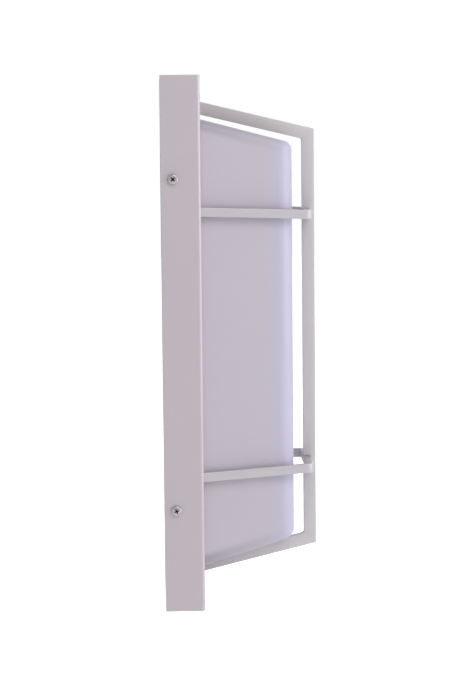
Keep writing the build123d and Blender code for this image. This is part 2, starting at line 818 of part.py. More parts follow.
with BuildPart() as hoop_screws:
    for end in (-1, 1):
        with BuildSketch(front(hoop_inner_depth)):
            with Locations((0, end * hoop_front_half_spacing)):
                Circle(countersink_radius)
        extrude(amount=countersink_depth, taper=countersink_taper)
        with BuildSketch(front(hoop_inner_depth)):
            with Locations((0, end * hoop_front_half_spacing)):
                Circle(m3 / 2)
        extrude(amount=hoop_thick + hoop_screw_hold)
        with BuildSketch(front(hoop_inner_depth)):
            with Locations((0, end * hoop_front_half_spacing)):
                RegularPolygon(hex_recess / 2, 6)
        extrude(amount=hex_recess_depth, mode=Mode.SUBTRACT)
save(hoop_screws.part, "hoop_screws")

with BuildPart() as hoop_clips:
    clip_outer = inner_half_width - slip / 2
    clip_inner = flange_half_width + slip / 2
    with BuildSketch(front(plate_back)):
        for side in (-1, 1):
            for end in (-1, 1):
                with Locations((side * (clip_outer + clip_inner) / 2, end * hoop_half_spacing)):
                    Rectangle(clip_outer - clip_inner, clip_height)
                tab_inner = tab_x - hoop_tab_thick / 2 - slip
                with Locations((side * (clip_outer + tab_inner) / 2, end * hoop_half_spacing)):
                    Rectangle(
                        clip_outer - tab_inner,
                        hoop_strip - 2 * hoop_notch + slip,
                        mode=Mode.SUBTRACT,
                    )
    extrude(amount=-clip_thick)
save(hoop_clips.part, "hoop_clips")
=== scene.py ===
"""Looks of the outdoor wall lantern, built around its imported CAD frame.

Metres, in the frame's own axes: +Z up, the wall at y = 0, the lantern facing -Y. The bars, hoops
and screws are built here as finished meshes; every other CAD node stays and gets its finish.
"""

import logging
import math
from dataclasses import dataclass, replace
from enum import Enum

import bmesh
import bpy
from mathutils import Matrix, Vector


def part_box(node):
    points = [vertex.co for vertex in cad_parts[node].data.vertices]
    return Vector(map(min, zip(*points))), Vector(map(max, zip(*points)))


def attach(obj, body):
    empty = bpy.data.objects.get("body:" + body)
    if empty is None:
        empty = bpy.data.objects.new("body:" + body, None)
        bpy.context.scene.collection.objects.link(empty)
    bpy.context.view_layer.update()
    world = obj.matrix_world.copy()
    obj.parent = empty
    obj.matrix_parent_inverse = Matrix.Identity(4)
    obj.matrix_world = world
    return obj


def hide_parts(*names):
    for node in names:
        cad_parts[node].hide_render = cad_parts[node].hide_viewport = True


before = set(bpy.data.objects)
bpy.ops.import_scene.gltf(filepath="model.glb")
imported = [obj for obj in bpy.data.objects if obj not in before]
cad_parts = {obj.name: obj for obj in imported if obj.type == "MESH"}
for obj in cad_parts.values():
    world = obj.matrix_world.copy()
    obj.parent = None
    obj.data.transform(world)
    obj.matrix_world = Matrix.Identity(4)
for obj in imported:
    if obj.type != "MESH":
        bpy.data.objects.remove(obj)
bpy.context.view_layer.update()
BODY = "root"
MM = 0.001
NODE_SPACING = 180
SMOOTH_ANGLE = 35.0
SCREW_SMOOTH_ANGLE = 40.0
EDGE_STEPS = 3
SUBSURFACE_SCALE = 4.0 * MM
SUBSURFACE_RADIUS = (1.0, 0.9, 0.95)
FLAKE_GAIN = 1.25

log = logging.getLogger("lantern")


class End(Enum):
    """Upper or lower half of the lantern."""

    UPPER = 1
    LOWER = -1


class Side(Enum):
    """Left or right side of the lantern, seen from the front."""

    LEFT = -1
    RIGHT = 1


class Grain(Enum):
    """Direction in which a surface's fine grain runs, as the stretch along X, Y and Z."""

    EVEN = (1.0, 1.0, 1.0)
    UPRIGHT = (1.0, 1.0, 0.04)
    ACROSS = (0.04, 1.0, 1.0)


class Drive(Enum):
    """Recess in a screw's head."""

    CROSS = "cross"
    HEX = "hex"


class Head(Enum):
    """Shape of a screw's head."""

    PAN = "pan"
    COUNTERSUNK = "countersunk"


# ---- shader groups
class Wiring:
    """Adds and links the nodes of one tree, setting each input by its name."""

    def __init__(self, tree: bpy.types.NodeTree) -> None:
        """Keep the tree.

        Args:
            tree: the node tree to fill.
        """
        self.tree = tree
        self.column = 0

    def add(self, kind: str, **values: object) -> bpy.types.Node:
        """Add a node.

        Args:
            kind: the node's Blender type name.
            values: node properties, or input values by name with _ for spaces. A group's
                node_tree goes before its inputs.

        Returns:
            The new node.
        """
        node = self.tree.nodes.new(kind)
        self.column += 1
        node.location = (NODE_SPACING * self.column, 0)
        for name, value in values.items():
            socket = node.inputs.get(name.replace("_", " "))
            if socket is not None:
                socket.default_value = value
            else:
                setattr(node, name, value)
        return node

    def link(self, source: bpy.types.NodeSocket, target: bpy.types.NodeSocket) -> None:
        """Link an output to an input."""
        self.tree.links.new(source, target)

    def maths(self, operation: str, first: object, second: object = 0.0) -> bpy.types.NodeSocket:
        """Add a Math node.

        Args:
            operation: the node's operation.
            first: a socket or a number.
            second: a socket or a number.

        Returns:
            The node's output.
        """
        node = self.add("ShaderNodeMath", operation=operation)
        for index, value in enumerate((first, second)):
            if isinstance(value, bpy.types.NodeSocket):
                self.link(value, node.inputs[index])
            else:
                node.inputs[index].default_value = value
        return node.outputs[0]

    def blend(self, factor: object, first: object, second: object) -> bpy.types.NodeSocket:
        """Mix two colours.

        Args:
            factor: a socket or a number.
            first: a socket or a colour.
            second: a socket or a colour.

        Returns:
            The mixed colour's socket.
        """
        node = self.add("ShaderNodeMix", data_type="RGBA")
        colours = [socket for socket in node.inputs if socket.type == "RGBA"]
        for socket, value in zip((node.inputs[0], *colours), (factor, first, second)):
            if isinstance(value, bpy.types.NodeSocket):
                self.link(value, socket)
            else:
                socket.default_value = value
        return node.outputs[2]

    def spread(
        self, source: bpy.types.NodeSocket, low: float, high: float
    ) -> bpy.types.NodeSocket:
        """Map a 0 to 1 value to a range.

        Args:
            source: the value's socket.
            low: what 0 becomes.
            high: what 1 becomes.

        Returns:
            The mapped value's socket.
        """
        node = self.add("ShaderNodeMapRange", To_Min=low, To_Max=high)
        self.link(source, node.inputs["Value"])
        return node.outputs[0]

    def split(self, kind: str, output: str) -> tuple[bpy.types.NodeSocket, ...]:
        """Add a node and split one of its vectors.

        Args:
            kind: the node's Blender type name.
            output: name of its vector output.

        Returns:
            The sockets of the vector's X, Y and Z.
        """
        parts = self.add("ShaderNodeSeparateXYZ")
        self.link(self.add(kind).outputs[output], parts.inputs[0])
        return tuple(parts.outputs)


class ShaderGroups:
    """The effects that several finishes share, each a node group made once."""

    edge_gain = 6.0
    break_gain = 1.6

    def __init__(self) -> None:
        """Build all the groups."""
        self.grain = self._grain()
        self.flake = self._flake()
        self.wear = self._wear()
        self.dust = self._dust()

    @staticmethod
    def _open(name: str, inputs: dict, outputs: tuple) -> tuple:
        """Start a group.

        Args:
            name: the group's name.
            inputs: each input's name, with its default value.
            outputs: the outputs' names.

        Returns:
            The tree, its wiring helper, and its input and output nodes.
        """
        tree = bpy.data.node_groups.new(name, "ShaderNodeTree")
        for label, value in inputs.items():
            kind = "NodeSocketFloat" if isinstance(value, float) else "NodeSocketVector"
            socket = tree.interface.new_socket(name=label, in_out="INPUT", socket_type=kind)
            socket.default_value = value
        for label in outputs:
            tree.interface.new_socket(name=label, in_out="OUTPUT", socket_type="NodeSocketFloat")
        wiring = Wiring(tree)
        return tree, wiring, wiring.add("NodeGroupInput"), wiring.add("NodeGroupOutput")

    def _grain(self) -> bpy.types.NodeTree:
        """Fine grain and slow mottle, as two 0 to 1 values.

        Returns:
            The group's tree.
        """
        inputs = {"Stretch": (1.0, 1.0, 1.0), "Fine Scale": 900.0, "Mottle Scale": 14.0}
        tree, w, start, end = self._open("surface_grain", inputs, ("Grain", "Mottle"))
        place = w.add("ShaderNodeTexCoord")
        stretched = w.add("ShaderNodeVectorMath", operation="MULTIPLY")
        w.link(place.outputs["Object"], stretched.inputs[0])
        w.link(start.outputs["Stretch"], stretched.inputs[1])
        fine = w.add("ShaderNodeTexNoise", Detail=3.0, Roughness=0.6)
        w.link(stretched.outputs[0], fine.inputs["Vector"])
        w.link(start.outputs["Fine Scale"], fine.inputs["Scale"])
        slow = w.add("ShaderNodeTexNoise", Detail=5.0, Roughness=0.55, Distortion=0.4)
        w.link(place.outputs["Object"], slow.inputs["Vector"])
        w.link(start.outputs["Mottle Scale"], slow.inputs["Scale"])
        w.link(fine.outputs[0], end.inputs["Grain"])
        w.link(slow.outputs[0], end.inputs["Mottle"])
        return tree

    def _flake(self) -> bpy.types.NodeTree:
        """Tiny cells of random brightness, as in metallic paint.

        Returns:
            The group's tree.
        """
        tree, w, start, end = self._open("metal_flake", {"Scale": 5200.0}, ("Flake",))
        place = w.add("ShaderNodeTexCoord")
        cells = w.add("ShaderNodeTexVoronoi", feature="F1")
        w.link(place.outputs["Object"], cells.inputs["Vector"])
        w.link(start.outputs["Scale"], cells.inputs["Scale"])
        parts = w.add("ShaderNodeSeparateColor")
        w.link(cells.outputs["Color"], parts.inputs[0])
        w.link(parts.outputs[0], end.inputs["Flake"])
        return tree

    def _wear(self) -> bpy.types.NodeTree:
        """Broken-up mask along convex edges.

        Returns:
            The group's tree.
        """
        inputs = {"Width": 0.8 * MM, "Break Scale": 260.0}
        tree, w, start, end = self._open("edge_wear", inputs, ("Mask",))
        shape = w.add("ShaderNodeNewGeometry")
        rounded = w.add("ShaderNodeBevel", samples=6)
        w.link(start.outputs["Width"], rounded.inputs["Radius"])
        likeness = w.add("ShaderNodeVectorMath", operation="DOT_PRODUCT")
        w.link(rounded.outputs[0], likeness.inputs[0])
        w.link(shape.outputs["Normal"], likeness.inputs[1])
        unlike = w.maths("SUBTRACT", 1.0, likeness.outputs["Value"])
        edge = w.maths("MULTIPLY", unlike, self.edge_gain)
        place = w.add("ShaderNodeTexCoord")
        noise = w.add("ShaderNodeTexNoise", Detail=4.0)
        w.link(place.outputs["Object"], noise.inputs["Vector"])
        w.link(start.outputs["Break Scale"], noise.inputs["Scale"])
        broken = w.maths("MULTIPLY", edge, w.maths("MULTIPLY", noise.outputs[0], self.break_gain))
        limit = w.add("ShaderNodeClamp")
        w.link(broken, limit.inputs[0])
        w.link(limit.outputs[0], end.inputs["Mask"])
        return tree

    def _dust(self) -> bpy.types.NodeTree:
        """Mask of fine dust on surfaces that face up.

        Returns:
            The group's tree.
        """
        tree, w, start, end = self._open("settled_dust", {"Amount": 0.3}, ("Mask",))
        normal = w.split("ShaderNodeNewGeometry", "Normal")
        upward = w.maths("MAXIMUM", normal[2], 0.0)
        place = w.add("ShaderNodeTexCoord")
        noise = w.add("ShaderNodeTexNoise", Scale=70.0, Detail=6.0)
        w.link(place.outputs["Object"], noise.inputs["Vector"])
        patchy = w.maths("MULTIPLY", upward, noise.outputs[0])
        w.link(w.maths("MULTIPLY", patchy, start.outputs["Amount"]), end.inputs["Mask"])
        return tree


# ---- finishes
Colour = tuple[float, float, float]
DUST_COLOUR = (0.62, 0.6, 0.56)


@dataclass(frozen=True)
class PaintedRimShade:
    """Painted shade along a tapered box's upper and lower rims, strongest next to the pan.

    The box reaches half_height above and below its middle at the depth start, and its rims slope
    The painted shade fades out towards the depth stop.
    """

    tone: Colour
    half_height: float
    slope: float
    start: float
    stop: float
    full_width: float = 5.5 * MM
    total_width: float = 11.5 * MM

    def mask(self, w: Wiring) -> bpy.types.NodeSocket:
        """Add the 0 to 1 mask of the painted rim shade.

        Args:
            w: the material's wiring helper.

        Returns:
            The mask's socket.
        """
        place = w.split("ShaderNodeTexCoord", "Object")
        sloped = w.maths("MULTIPLY", place[1], self.slope)
        inset = w.maths("SUBTRACT", sloped, w.maths("ABSOLUTE", place[2]))
        edge = self.half_height + self.slope * self.start
        painted_rim_shade = w.add(
            "ShaderNodeMapRange",
            interpolation_type="SMOOTHSTEP",
            From_Min=self.total_width - edge,
            From_Max=self.full_width - edge,
        )
        w.link(inset, painted_rim_shade.inputs["Value"])
        fade = w.add("ShaderNodeMapRange", From_Min=-self.stop, From_Max=-self.start)
        w.link(place[1], fade.inputs["Value"])
        return w.maths("MULTIPLY", painted_rim_shade.outputs[0], fade.outputs[0])


@dataclass(frozen=True)
class Finish:
    """A solid surface: two tones, a grain that breaks up gloss and relief, wear and dust.

    A bluish front tone, painted sheen of the front light, takes over between two given depths, for
    a face that curves forward.
    """

    name: str
    slot: str
    light: Colour
    dark: Colour
    roughness: tuple[float, float] = (0.4, 0.55)
    metallic: float = 0.0
    coat: float = 0.0
    coat_roughness: float = 0.2
    grain: Grain = Grain.EVEN
    fine_scale: float = 900.0
    mottle_scale: float = 14.0
    relief: float = 0.02 * MM
    flake: float = 0.0
    wear: float = 0.0
    worn: Colour = (0.8, 0.8, 0.8)
    dust: float = 0.0
    subsurface: float = 0.0
    painted_front_sheen: Colour | None = None
    painted_sheen_span: tuple[float, float] = (0.0, 0.0)
    painted_rim_shade: PaintedRimShade | None = None

    def build(self, groups: ShaderGroups) -> bpy.types.Material:
        """Make the material.

        Args:
            groups: the shared shader groups.

        Returns:
            The material, ready to assign.
        """
        material = bpy.data.materials.new(self.name)
        material.use_nodes = True
        w = Wiring(material.node_tree)
        shader = material.node_tree.nodes["Principled BSDF"]
        settings = {
            "Metallic": self.metallic,
            "Coat Weight": self.coat,
            "Coat Roughness": self.coat_roughness,
            "Subsurface Weight": self.subsurface,
            "Subsurface Scale": SUBSURFACE_SCALE,
            "Subsurface Radius": SUBSURFACE_RADIUS,
        }
        for name, value in settings.items():
            shader.inputs[name].default_value = value
        grain = w.add(
            "ShaderNodeGroup",
            node_tree=groups.grain,
            Stretch=self.grain.value,
            Fine_Scale=self.fine_scale,
            Mottle_Scale=self.mottle_scale,
        )
        colour = w.blend(grain.outputs["Mottle"], (*self.dark, 1.0), (*self.light, 1.0))
        speckle = grain.outputs["Grain"]
        if self.flake:
            flake = w.add("ShaderNodeGroup", node_tree=groups.flake)
            bright = tuple(min(1.0, channel * FLAKE_GAIN) for channel in self.light)
            amount = w.maths("MULTIPLY", flake.outputs["Flake"], self.flake)
            colour = w.blend(amount, colour, (*bright, 1.0))
            speckle = w.maths("MULTIPLY", w.maths("ADD", speckle, flake.outputs["Flake"]), 0.5)
        # painted sheen: a bluish tone where the face curves towards the front light
        if self.painted_front_sheen:
            colour = w.blend(self._painted_sheen_mask(w), colour, (*self.painted_front_sheen, 1.0))
        # painted shade along the upper and lower rims, strongest next to the pan
        if self.painted_rim_shade:
            colour = w.blend(self.painted_rim_shade.mask(w), colour, (*self.painted_rim_shade.tone, 1.0))
        if self.wear:
            wear = w.add("ShaderNodeGroup", node_tree=groups.wear)
            amount = w.maths("MULTIPLY", wear.outputs["Mask"], self.wear)
            colour = w.blend(amount, colour, (*self.worn, 1.0))
        if self.dust:
            dust = w.add("ShaderNodeGroup", node_tree=groups.dust, Amount=self.dust)
            colour = w.blend(dust.outputs["Mask"], colour, (*DUST_COLOUR, 1.0))
        w.link(colour, shader.inputs["Base Color"])
        w.link(w.spread(speckle, *self.roughness), shader.inputs["Roughness"])
        bump = w.add("ShaderNodeBump", Strength=1.0, Distance=self.relief)
        w.link(grain.outputs["Grain"], bump.inputs["Height"])
        w.link(bump.outputs[0], shader.inputs["Normal"])
        return material

    def _painted_sheen_mask(self, w: Wiring) -> bpy.types.NodeSocket:
        """Add the 0 to 1 mask of the painted front sheen, rising between its two given depths.

        Args:
            w: the material's wiring helper.

        Returns:
            The value's socket.
        """
        near, far = self.painted_sheen_span
        ramp = w.add(
            "ShaderNodeMapRange", interpolation_type="SMOOTHSTEP", From_Min=-near, From_Max=-far
        )
        w.link(w.split("ShaderNodeTexCoord", "Object")[1], ramp.inputs["Value"])
        return ramp.outputs[0]


PAN_SILVER = Finish(
    "pan_silver_paint", "silver", (0.558, 0.502, 0.538), (0.528, 0.476, 0.508), (0.42, 0.54),
    metallic=0.3, coat=0.1, coat_roughness=0.35, relief=0.012 * MM, fine_scale=620.0, flake=0.2,
    wear=0.35, worn=(0.68, 0.65, 0.68), dust=0.08,
)
BAR_SILVER = replace(
    PAN_SILVER, name="bar_silver_paint", light=(0.59, 0.563, 0.57), dark=(0.56, 0.533, 0.54),
    metallic=0.12, worn=(0.70, 0.68, 0.70),
)
HOOP_SILVER = replace(
    PAN_SILVER, name="hoop_silver_paint", light=(0.538, 0.505, 0.527), dark=(0.508, 0.477, 0.496),
    roughness=(0.38, 0.5), coat=0.12, coat_roughness=0.3, relief=0.01 * MM, fine_scale=700.0,
    worn=(0.72, 0.70, 0.72),
)
FROSTED = Finish(
    "frosted_acrylic", "frosted", (0.53, 0.49, 0.545), (0.515, 0.475, 0.525), (0.34, 0.46),
    relief=0.008 * MM, fine_scale=1500.0, mottle_scale=9.0, dust=0.05, subsurface=0.2,
    # front tone: painted bluish sheen of the front light on the lens's rounded front
    painted_front_sheen=(0.51, 0.487, 0.593), painted_sheen_span=(78 * MM, 90 * MM),
    # rim: painted shade along the lens's upper and lower rims
    painted_rim_shade=PaintedRimShade(
        tone=(0.365, 0.34, 0.385), half_height=170.4 * MM, slope=0.2596, start=30.0 * MM,
        stop=100.5 * MM,
    ),
)
STAINLESS = Finish(
    "stainless_steel", "screw_steel", (0.60, 0.58, 0.595), (0.50, 0.485, 0.495), (0.22, 0.36),
    metallic=1.0, relief=0.006 * MM, fine_scale=1400.0, wear=0.3, worn=(0.72, 0.71, 0.72),
)
# near-black painted shade inside a screw's recess
PAINTED_RECESS_SHADE = Finish(
    "recess_painted_shade", "screw_steel", (0.045, 0.043, 0.045), (0.02, 0.02, 0.021), (0.6, 0.8),
    metallic=0.4, relief=0.02 * MM, fine_scale=1400.0,
)
ZINC = Finish(
    "zinc_plate", "zinc_steel", (0.66, 0.67, 0.68), (0.52, 0.54, 0.56), (0.26, 0.48), metallic=1.0,
    grain=Grain.UPRIGHT, fine_scale=500.0, mottle_scale=45.0, relief=0.008 * MM, wear=0.25,
)
MILL_ALUMINIUM = Finish(
    "mill_aluminium", "bare_aluminium", (0.80, 0.81, 0.82), (0.72, 0.73, 0.75), (0.28, 0.44),
    metallic=1.0, grain=Grain.UPRIGHT, fine_scale=700.0, relief=0.01 * MM,
)
RUBBER = Finish(
    "black_rubber", "black_rubber", (0.035, 0.035, 0.036), (0.02, 0.02, 0.021), (0.62, 0.85),
    relief=0.05 * MM, fine_scale=420.0, dust=0.25,
)
SILICONE = Finish(
    "white_silicone", "seal_rubber", (0.78, 0.78, 0.76), (0.72, 0.72, 0.70), (0.5, 0.65),
    relief=0.02 * MM, subsurface=0.2,
)
GREEN = Finish(
    "green_plate", "green_screw", (0.05, 0.36, 0.13), (0.035, 0.27, 0.09), (0.25, 0.4),
    metallic=0.6, relief=0.01 * MM, wear=0.5, worn=(0.6, 0.62, 0.55),
)
BOARD = Finish(
    "white_solder_mask", "board_white", (0.88, 0.88, 0.86), (0.82, 0.83, 0.81), (0.2, 0.32),
    coat=0.4, relief=0.006 * MM,
)
PHOSPHOR = Finish(
    "phosphor_resin", "chip_yellow", (0.88, 0.74, 0.24), (0.84, 0.66, 0.16), (0.3, 0.42),
    relief=0.01 * MM, subsurface=0.3,
)
NYLON = Finish(
    "moulded_nylon", "link_white", (0.84, 0.83, 0.79), (0.79, 0.78, 0.73), (0.42, 0.56),
    relief=0.02 * MM, subsurface=0.1,
)
DRIVER_SHELL = Finish(
    "driver_moulding", "driver_shell", (0.80, 0.80, 0.79), (0.74, 0.74, 0.73), (0.5, 0.66),
    relief=0.05 * MM, fine_scale=1100.0,
)
CIRCUIT = Finish(
    "green_solder_mask", "circuit_board", (0.05, 0.28, 0.11), (0.03, 0.2, 0.07), (0.22, 0.34),
    coat=0.4, relief=0.01 * MM,
)
COMPONENT = Finish(
    "component_moulding", "component_black", (0.05, 0.05, 0.052), (0.03, 0.03, 0.032), (0.4, 0.6),
    relief=0.02 * MM,
)
TERMINAL = Finish(
    "terminal_nylon", "terminal_plastic", (0.82, 0.80, 0.73), (0.76, 0.74, 0.66), (0.4, 0.55),
    relief=0.02 * MM, subsurface=0.1,
)
BRASS = Finish(
    "turned_brass", "brass", (0.80, 0.62, 0.30), (0.70, 0.52, 0.22), (0.2, 0.36), metallic=1.0,
    grain=Grain.ACROSS, relief=0.01 * MM,
)
INSULATION = Finish(
    "lead_insulation", "lead_insulation", (0.72, 0.70, 0.69), (0.66, 0.64, 0.63), (0.34, 0.48),
    relief=0.01 * MM,
)


class Paintshop:
    """Makes each finish's material once and puts it on pieces and CAD nodes."""

    def __init__(self) -> None:
        """Build the shared groups."""
        self.groups = ShaderGroups()
        self.made: dict[str, bpy.types.Material] = {}

    def material(self, finish: Finish) -> bpy.types.Material:
        """Give the finish's material, built on first use.

        Args:
            finish: the finish.

        Returns:
            Its material.
        """
        if finish.name not in self.made:
            self.made[finish.name] = finish.build(self.groups)
        return self.made[finish.name]

    def coat_node(self, finish: Finish, *nodes: str) -> None:
        """Give CAD nodes a finish.

        Args:
            finish: the finish.
            nodes: the nodes' names.
        """
        for node in nodes:
            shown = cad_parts[node]
            shown.data.materials.clear()
            shown.data.materials.append(self.material(finish))
            log.info("node %s: %s", node, finish.name)

    def coat_screw(self, piece: bpy.types.Object, finish: Finish, *replaced: str) -> None:
        """Give a screw its finish, and its recess near-black painted shade.

        Args:
            piece: the screw, in place.
            finish: its finish.
            replaced: names of the CAD nodes that it replaces.
        """
        self.coat_piece(piece, finish, *replaced)
        # second slot: painted shade inside the recess
        piece.data.materials.append(self.material(PAINTED_RECESS_SHADE))

    def coat_piece(self, piece: bpy.types.Object, finish: Finish, *replaced: str) -> None:
        """Give a piece its finish and its body, and hide the CAD nodes that it replaces.

        Args:
            piece: the new piece, in place.
            finish: the finish.
            replaced: names of the CAD nodes that it replaces.
        """
        piece.data.materials.append(self.material(finish))
        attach(piece, BODY)
        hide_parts(*replaced)
        log.info("piece %s: %s", piece.name, finish.name)


# ---- mesh helpers
def shade(mesh: bpy.types.Mesh, smooth_angle: float = SMOOTH_ANGLE) -> None:
    """Shade a mesh smooth, with edges sharper than so many degrees kept sharp."""
    mesh.polygons.foreach_set("use_smooth", [True] * len(mesh.polygons))
    mesh.set_sharp_from_angle(angle=math.radians(smooth_angle))


def finish_mesh(
    name: str, bm: bmesh.types.BMesh, smooth_angle: float = SMOOTH_ANGLE
) -> bpy.types.Object:
    """Turn a bmesh into a scene object with smooth faces and sharp edges by angle.

    Args:
        name: the object's name.
        bm: the mesh, freed afterwards.
        smooth_angle: edges sharper than this many degrees stay sharp.

    Returns:
        The new object.
    """
    bmesh.ops.recalc_face_normals(bm, faces=bm.faces)
    mesh = bpy.data.meshes.new(name)
    bm.to_mesh(mesh)
    bm.free()
    shade(mesh, smooth_angle)
    made = bpy.data.objects.new(name, mesh)
    bpy.context.scene.collection.objects.link(made)
    return made


def side_prism(
    name: str, outline: list[tuple[float, float]], thickness: float, bevel: float
) -> bpy.types.Object:
    """Flat plate standing in the Y-Z plane, centred on X = 0, with every edge rounded.

    Args:
        name: the object's name.
        outline: its corners as (y, z), in order.
        thickness: its size along X.
        bevel: radius of its edges.

    Returns:
        The plate.
    """
    bm = bmesh.new()
    corners = [bm.verts.new((-thickness / 2, y, z)) for y, z in outline]
    face = bm.faces.new(corners)
    grown = bmesh.ops.extrude_face_region(bm, geom=[face])
    moved = [item for item in grown["geom"] if isinstance(item, bmesh.types.BMVert)]
    bmesh.ops.translate(bm, verts=moved, vec=(thickness, 0, 0))
    bmesh.ops.bevel(
        bm, geom=bm.edges[:], offset=bevel, segments=EDGE_STEPS, profile=0.5, affect="EDGES"
    )
    return finish_mesh(name, bm)


def join_rings(bm: bmesh.types.BMesh, rings: list[list[bmesh.types.BMVert]]) -> None:
    """Join each ring of vertices to the next one by faces.

    Args:
        bm: the mesh that holds them.
        rings: the rings, in order; the last may be one vertex, an apex.
    """
    for first, second in zip(rings, rings[1:]):
        for index, vertex in enumerate(first):
            after = (index + 1) % len(first)
            far = second if len(second) == 1 else (second[after], second[index])
            bm.faces.new((vertex, first[after], *far))


def swept_strip(
    name: str,
    path: list[Vector],
    across: list[Vector],
    up: Vector,
    size: tuple[float, float],
    round_by: float,
) -> bpy.types.Object:
    """Flat strip with rounded edges swept along a path that lies in one plane.

    Args:
        name: the object's name.
        path: points along the strip's centre.
        across: unit vector through the strip's thickness at each point.
        up: unit vector along the strip's height.
        size: the strip's thickness and height.
        round_by: radius of its four long edges.

    Returns:
        The strip.
    """
    section = []
    for corner, (sx, sy) in enumerate(((1, 1), (-1, 1), (-1, -1), (1, -1))):
        for step in range(EDGE_STEPS + 1):
            angle = math.pi / 2 * (corner + step / EDGE_STEPS)
            a = sx * (size[0] / 2 - round_by) + round_by * math.cos(angle)
            b = sy * (size[1] / 2 - round_by) + round_by * math.sin(angle)
            section.append((a, b))
    bm = bmesh.new()
    rings = []
    for point, side in zip(path, across):
        rings.append([bm.verts.new(point + side * a + up * b) for a, b in section])
    join_rings(bm, rings)
    bm.faces.new(rings[0])
    bm.faces.new(reversed(rings[-1]))
    return finish_mesh(name, bm)


def cut(target: bpy.types.Object, tool: bpy.types.Object) -> None:
    """Cut one object out of another and delete the tool.

    Args:
        target: the object that is cut.
        tool: the object that cuts.
    """
    modifier = target.modifiers.new("cut", "BOOLEAN")
    modifier.operation = "DIFFERENCE"
    modifier.solver = "EXACT"
    modifier.object = tool
    graph = bpy.context.evaluated_depsgraph_get()
    mesh = bpy.data.meshes.new_from_object(target.evaluated_get(graph))
    target.modifiers.clear()
    target.data = mesh
    shade(mesh)
    bpy.data.objects.remove(tool)


def rounded_route(corners: list[Vector], radius: float, steps: int) -> list[Vector]:
    """Replace each inner corner of a flat route by an arc.

    Args:
        corners: the route's corners.
        radius: the arcs' radius.
        steps: points along each arc.

    Returns:
        The route's points.
    """
    route = [corners[0]]
    for before, corner, after in zip(corners, corners[1:], corners[2:]):
        into = (corner - before).normalized()
        away = (after - corner).normalized()
        turn = into.angle_signed(away)
        reach = radius * math.tan(abs(turn) / 2)
        start = corner - into * reach
        side = -1 if turn > 0 else 1
        centre = start + Vector((-into.y, into.x)) * radius * side
        arm = start - centre
        for step in range(steps + 1):
            angle = side * abs(turn) * step / steps
            route.append(centre + Matrix.Rotation(angle, 2) @ arm)
    route.append(corners[-1])
    return route


